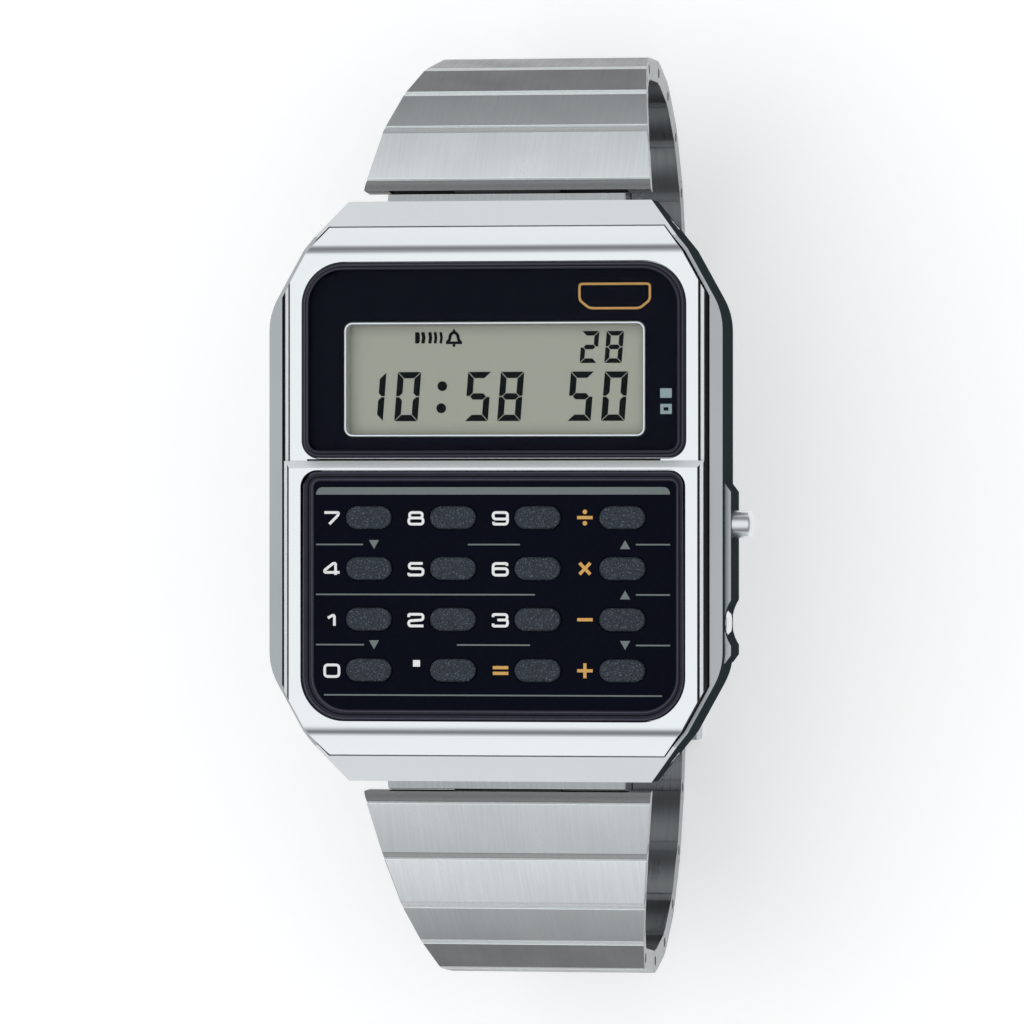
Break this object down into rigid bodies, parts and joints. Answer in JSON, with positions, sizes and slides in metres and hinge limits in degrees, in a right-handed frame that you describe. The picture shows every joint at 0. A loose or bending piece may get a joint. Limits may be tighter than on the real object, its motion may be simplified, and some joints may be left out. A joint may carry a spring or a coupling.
{
  "type": "calculator watch",
  "caption": "Digital wristwatch with a display over a calculator keypad in a faceted metal case, side pushers, and a tapered steel link band on a folding clasp.",
  "frame": {"origin": "centre of the case in plan, on the surface that the closed clasp stands on", "axes": "+Z out of the dial, +Y towards 12 o'clock, +X towards the side pushers"},
  "size_m": [0.036, 0.0716, 0.0496],
  "materials": {
    "case_metal": "bright satin sides with polished slopes",
    "bezel_metal": "mirror polished face with crisp side grooves",
    "crystal": "clear with a bevelled rim",
    "panel_print": "glossy blue black with pale grey and gold print",
    "window_metal": "polished frame",
    "lcd_glass": "grey green reflective display with dark digits",
    "module_plastic": "black moulded frame",
    "board_laminate": "green solder resist",
    "battery_steel": "plated can",
    "spring_brass": "thin rolled sheet",
    "contact_rubber": "dark moulded rubber",
    "back_steel": "straight brushed",
    "fitting_steel": "turned and polished",
    "key_rubber": "fine sandy dark grey",
    "band_steel": "brushed along the band, lips polished",
    "clasp_steel": "brushed cover, plain pressed leaves"
  },
  "bodies": {
    "watch_case": {"case_body": "case_metal", "bezel": "bezel_metal", "display_glass": "crystal", "display_mask": "panel_print", "window_frame": "window_metal", "lcd_panel": "lcd_glass", "module_frame": "module_plastic", "circuit_board": "board_laminate", "battery": "battery_steel", "battery_clip": "spring_brass", "alarm_buzzer": "spring_brass", "keypad_plate": "panel_print", "key_contact_sheet": "contact_rubber", "case_back": "back_steel", "back_gasket": "contact_rubber", "case_back_screws": "fitting_steel", "spring_bars": "fitting_steel"},
    "key_7": {"key_7": "key_rubber"},
    "key_8": {"key_8": "key_rubber"},
    "key_9": {"key_9": "key_rubber"},
    "key_divide": {"key_divide": "key_rubber"},
    "key_4": {"key_4": "key_rubber"},
    "key_5": {"key_5": "key_rubber"},
    "key_6": {"key_6": "key_rubber"},
    "key_multiply": {"key_multiply": "key_rubber"},
    "key_1": {"key_1": "key_rubber"},
    "key_2": {"key_2": "key_rubber"},
    "key_3": {"key_3": "key_rubber"},
    "key_minus": {"key_minus": "key_rubber"},
    "key_0": {"key_0": "key_rubber"},
    "key_point": {"key_point": "key_rubber"},
    "key_equals": {"key_equals": "key_rubber"},
    "key_plus": {"key_plus": "key_rubber"},
    "main_pusher": {"main_pusher": "fitting_steel"},
    "recessed_pusher": {"recessed_pusher": "fitting_steel"},
    "upper_end_link": {"upper_end_link": "band_steel"},
    "upper_link_1": {"upper_link_1": "band_steel"},
    "upper_link_2": {"upper_link_2": "band_steel"},
    "upper_link_3": {"upper_link_3": "band_steel"},
    "upper_link_4": {"upper_link_4": "band_steel"},
    "upper_link_5": {"upper_link_5": "band_steel"},
    "upper_link_6": {"upper_link_6": "band_steel"},
    "upper_link_7": {"upper_link_7": "band_steel"},
    "upper_link_8": {"upper_link_8": "band_steel"},
    "upper_link_9": {"upper_link_9": "band_steel"},
    "lower_end_link": {"lower_end_link": "band_steel"},
    "lower_link_1": {"lower_link_1": "band_steel"},
    "lower_link_2": {"lower_link_2": "band_steel"},
    "lower_link_3": {"lower_link_3": "band_steel"},
    "lower_link_4": {"lower_link_4": "band_steel"},
    "lower_link_5": {"lower_link_5": "band_steel"},
    "lower_link_6": {"lower_link_6": "band_steel"},
    "lower_link_7": {"lower_link_7": "band_steel"},
    "lower_link_8": {"lower_link_8": "band_steel"},
    "lower_link_9": {"lower_link_9": "band_steel"},
    "lower_link_10": {"lower_link_10": "band_steel"},
    "clasp_inner_leaf": {"clasp_inner_leaf": "clasp_steel"},
    "clasp_middle_leaf": {"clasp_middle_leaf": "clasp_steel"},
    "clasp_cover": {"clasp_cover": "clasp_steel"}
  },
  "joints": [
    {"name": "key_7_press", "type": "slide", "parent": "watch_case", "child": "key_7", "axis": [0, 0, -1], "range_m": [0, 0.0003], "stiffness_N_per_m": 600, "springref_m": -0.0003},
    {"name": "key_8_press", "type": "slide", "parent": "watch_case", "child": "key_8", "axis": [0, 0, -1], "range_m": [0, 0.0003], "stiffness_N_per_m": 600, "springref_m": -0.0003},
    {"name": "key_9_press", "type": "slide", "parent": "watch_case", "child": "key_9", "axis": [0, 0, -1], "range_m": [0, 0.0003], "stiffness_N_per_m": 600, "springref_m": -0.0003},
    {"name": "key_divide_press", "type": "slide", "parent": "watch_case", "child": "key_divide", "axis": [0, 0, -1], "range_m": [0, 0.0003], "stiffness_N_per_m": 600, "springref_m": -0.0003},
    {"name": "key_4_press", "type": "slide", "parent": "watch_case", "child": "key_4", "axis": [0, 0, -1], "range_m": [0, 0.0003], "stiffness_N_per_m": 600, "springref_m": -0.0003},
    {"name": "key_5_press", "type": "slide", "parent": "watch_case", "child": "key_5", "axis": [0, 0, -1], "range_m": [0, 0.0003], "stiffness_N_per_m": 600, "springref_m": -0.0003},
    {"name": "key_6_press", "type": "slide", "parent": "watch_case", "child": "key_6", "axis": [0, 0, -1], "range_m": [0, 0.0003], "stiffness_N_per_m": 600, "springref_m": -0.0003},
    {"name": "key_multiply_press", "type": "slide", "parent": "watch_case", "child": "key_multiply", "axis": [0, 0, -1], "range_m": [0, 0.0003], "stiffness_N_per_m": 600, "springref_m": -0.0003},
    {"name": "key_1_press", "type": "slide", "parent": "watch_case", "child": "key_1", "axis": [0, 0, -1], "range_m": [0, 0.0003], "stiffness_N_per_m": 600, "springref_m": -0.0003},
    {"name": "key_2_press", "type": "slide", "parent": "watch_case", "child": "key_2", "axis": [0, 0, -1], "range_m": [0, 0.0003], "stiffness_N_per_m": 600, "springref_m": -0.0003},
    {"name": "key_3_press", "type": "slide", "parent": "watch_case", "child": "key_3", "axis": [0, 0, -1], "range_m": [0, 0.0003], "stiffness_N_per_m": 600, "springref_m": -0.0003},
    {"name": "key_minus_press", "type": "slide", "parent": "watch_case", "child": "key_minus", "axis": [0, 0, -1], "range_m": [0, 0.0003], "stiffness_N_per_m": 600, "springref_m": -0.0003},
    {"name": "key_0_press", "type": "slide", "parent": "watch_case", "child": "key_0", "axis": [0, 0, -1], "range_m": [0, 0.0003], "stiffness_N_per_m": 600, "springref_m": -0.0003},
    {"name": "key_point_press", "type": "slide", "parent": "watch_case", "child": "key_point", "axis": [0, 0, -1], "range_m": [0, 0.0003], "stiffness_N_per_m": 600, "springref_m": -0.0003},
    {"name": "key_equals_press", "type": "slide", "parent": "watch_case", "child": "key_equals", "axis": [0, 0, -1], "range_m": [0, 0.0003], "stiffness_N_per_m": 600, "springref_m": -0.0003},
    {"name": "key_plus_press", "type": "slide", "parent": "watch_case", "child": "key_plus", "axis": [0, 0, -1], "range_m": [0, 0.0003], "stiffness_N_per_m": 600, "springref_m": -0.0003},
    {"name": "main_pusher_press", "type": "slide", "parent": "watch_case", "child": "main_pusher", "axis": [-1, 0, 0], "range_m": [0, 0.0007], "stiffness_N_per_m": 900, "springref_m": -0.0007},
    {"name": "recessed_pusher_press", "type": "slide", "parent": "watch_case", "child": "recessed_pusher", "axis": [-1, 0, 0], "range_m": [0, 0.0007], "stiffness_N_per_m": 900, "springref_m": -0.0007},
    {"name": "upper_end_link_hinge", "type": "hinge", "parent": "watch_case", "child": "upper_end_link", "pos_m": [0, 0.0199, 0.0433], "axis": [1, 0, 0], "range_deg": [0, 38]},
    {"name": "upper_link_1_hinge", "type": "hinge", "parent": "upper_end_link", "child": "upper_link_1", "pos_m": [0, 0.0225, 0.04161], "axis": [1, 0, 0], "range_deg": [0, 12]},
    {"name": "upper_link_2_hinge", "type": "hinge", "parent": "upper_link_1", "child": "upper_link_2", "pos_m": [0, 0.02658, 0.03807], "axis": [1, 0, 0], "range_deg": [0, 21]},
    {"name": "upper_link_3_hinge", "type": "hinge", "parent": "upper_link_2", "child": "upper_link_3", "pos_m": [0, 0.02944, 0.03349], "axis": [1, 0, 0], "range_deg": [0, 13]},
    {"name": "upper_link_4_hinge", "type": "hinge", "parent": "upper_link_3", "child": "upper_link_4", "pos_m": [0, 0.03155, 0.02852], "axis": [1, 0, 0], "range_deg": [0, 15]},
    {"name": "upper_link_5_hinge", "type": "hinge", "parent": "upper_link_4", "child": "upper_link_5", "pos_m": [0, 0.03267, 0.02324], "axis": [1, 0, 0], "range_deg": [0, 16]},
    {"name": "upper_link_6_hinge", "type": "hinge", "parent": "upper_link_5", "child": "upper_link_6", "pos_m": [0, 0.03267, 0.01784], "axis": [1, 0, 0], "range_deg": [0, 20]},
    {"name": "upper_link_7_hinge", "type": "hinge", "parent": "upper_link_6", "child": "upper_link_7", "pos_m": [0, 0.03118, 0.01265], "axis": [1, 0, 0], "range_deg": [0, 22]},
    {"name": "upper_link_8_hinge", "type": "hinge", "parent": "upper_link_7", "child": "upper_link_8", "pos_m": [0, 0.02816, 0.00817], "axis": [1, 0, 0], "range_deg": [0, 22]},
    {"name": "upper_link_9_hinge", "type": "hinge", "parent": "upper_link_8", "child": "upper_link_9", "pos_m": [0, 0.02391, 0.00485], "axis": [1, 0, 0], "range_deg": [0, 22]},
    {"name": "lower_end_link_hinge", "type": "hinge", "parent": "watch_case", "child": "lower_end_link", "pos_m": [0, -0.0199, 0.0433], "axis": [-1, 0, 0], "range_deg": [0, 38]},
    {"name": "lower_link_1_hinge", "type": "hinge", "parent": "lower_end_link", "child": "lower_link_1", "pos_m": [0, -0.0225, 0.04161], "axis": [-1, 0, 0], "range_deg": [0, 8]},
    {"name": "lower_link_2_hinge", "type": "hinge", "parent": "lower_link_1", "child": "lower_link_2", "pos_m": [0, -0.02681, 0.03836], "axis": [-1, 0, 0], "range_deg": [0, 12]},
    {"name": "lower_link_3_hinge", "type": "hinge", "parent": "lower_link_2", "child": "lower_link_3", "pos_m": [0, -0.03063, 0.03455], "axis": [-1, 0, 0], "range_deg": [0, 15.5]},
    {"name": "lower_link_4_hinge", "type": "hinge", "parent": "lower_link_3", "child": "lower_link_4", "pos_m": [0, -0.03361, 0.03004], "axis": [-1, 0, 0], "range_deg": [0, 12.5]},
    {"name": "lower_link_5_hinge", "type": "hinge", "parent": "lower_link_4", "child": "lower_link_5", "pos_m": [0, -0.03589, 0.02515], "axis": [-1, 0, 0], "range_deg": [0, 23]},
    {"name": "lower_link_6_hinge", "type": "hinge", "parent": "lower_link_5", "child": "lower_link_6", "pos_m": [0, -0.03646, 0.01978], "axis": [-1, 0, 0], "range_deg": [0, 22]},
    {"name": "lower_link_7_hinge", "type": "hinge", "parent": "lower_link_6", "child": "lower_link_7", "pos_m": [0, -0.03534, 0.0145], "axis": [-1, 0, 0], "range_deg": [0, 23]},
    {"name": "lower_link_8_hinge", "type": "hinge", "parent": "lower_link_7", "child": "lower_link_8", "pos_m": [0, -0.03255, 0.00987], "axis": [-1, 0, 0], "range_deg": [0, 22]},
    {"name": "lower_link_9_hinge", "type": "hinge", "parent": "lower_link_8", "child": "lower_link_9", "pos_m": [0, -0.02848, 0.00632], "axis": [-1, 0, 0], "range_deg": [0, 21]},
    {"name": "lower_link_10_hinge", "type": "hinge", "parent": "lower_link_9", "child": "lower_link_10", "pos_m": [0, -0.02355, 0.00413], "axis": [-1, 0, 0], "range_deg": [0, 16]},
    {"name": "clasp_inner_leaf_hinge", "type": "hinge", "parent": "upper_link_9", "child": "clasp_inner_leaf", "pos_m": [0, 0.01883, 0.003], "axis": [1, 0, 0], "range_deg": [0, 24]},
    {"name": "clasp_middle_leaf_hinge", "type": "hinge", "parent": "clasp_inner_leaf", "child": "clasp_middle_leaf", "pos_m": [0, -0.01456, 0.0023], "axis": [-1, 0, 0], "range_deg": [0, 150]},
    {"name": "clasp_cover_hinge", "type": "hinge", "parent": "clasp_middle_leaf", "child": "clasp_cover", "pos_m": [0, 0.01443, 0.0016], "axis": [-1, 0, 0], "range_deg": [-150, 0]}
  ],
  "couplings": [
    {"joint": "clasp_cover_hinge", "follows": "clasp_middle_leaf_hinge", "ratio": -1}
  ]
}
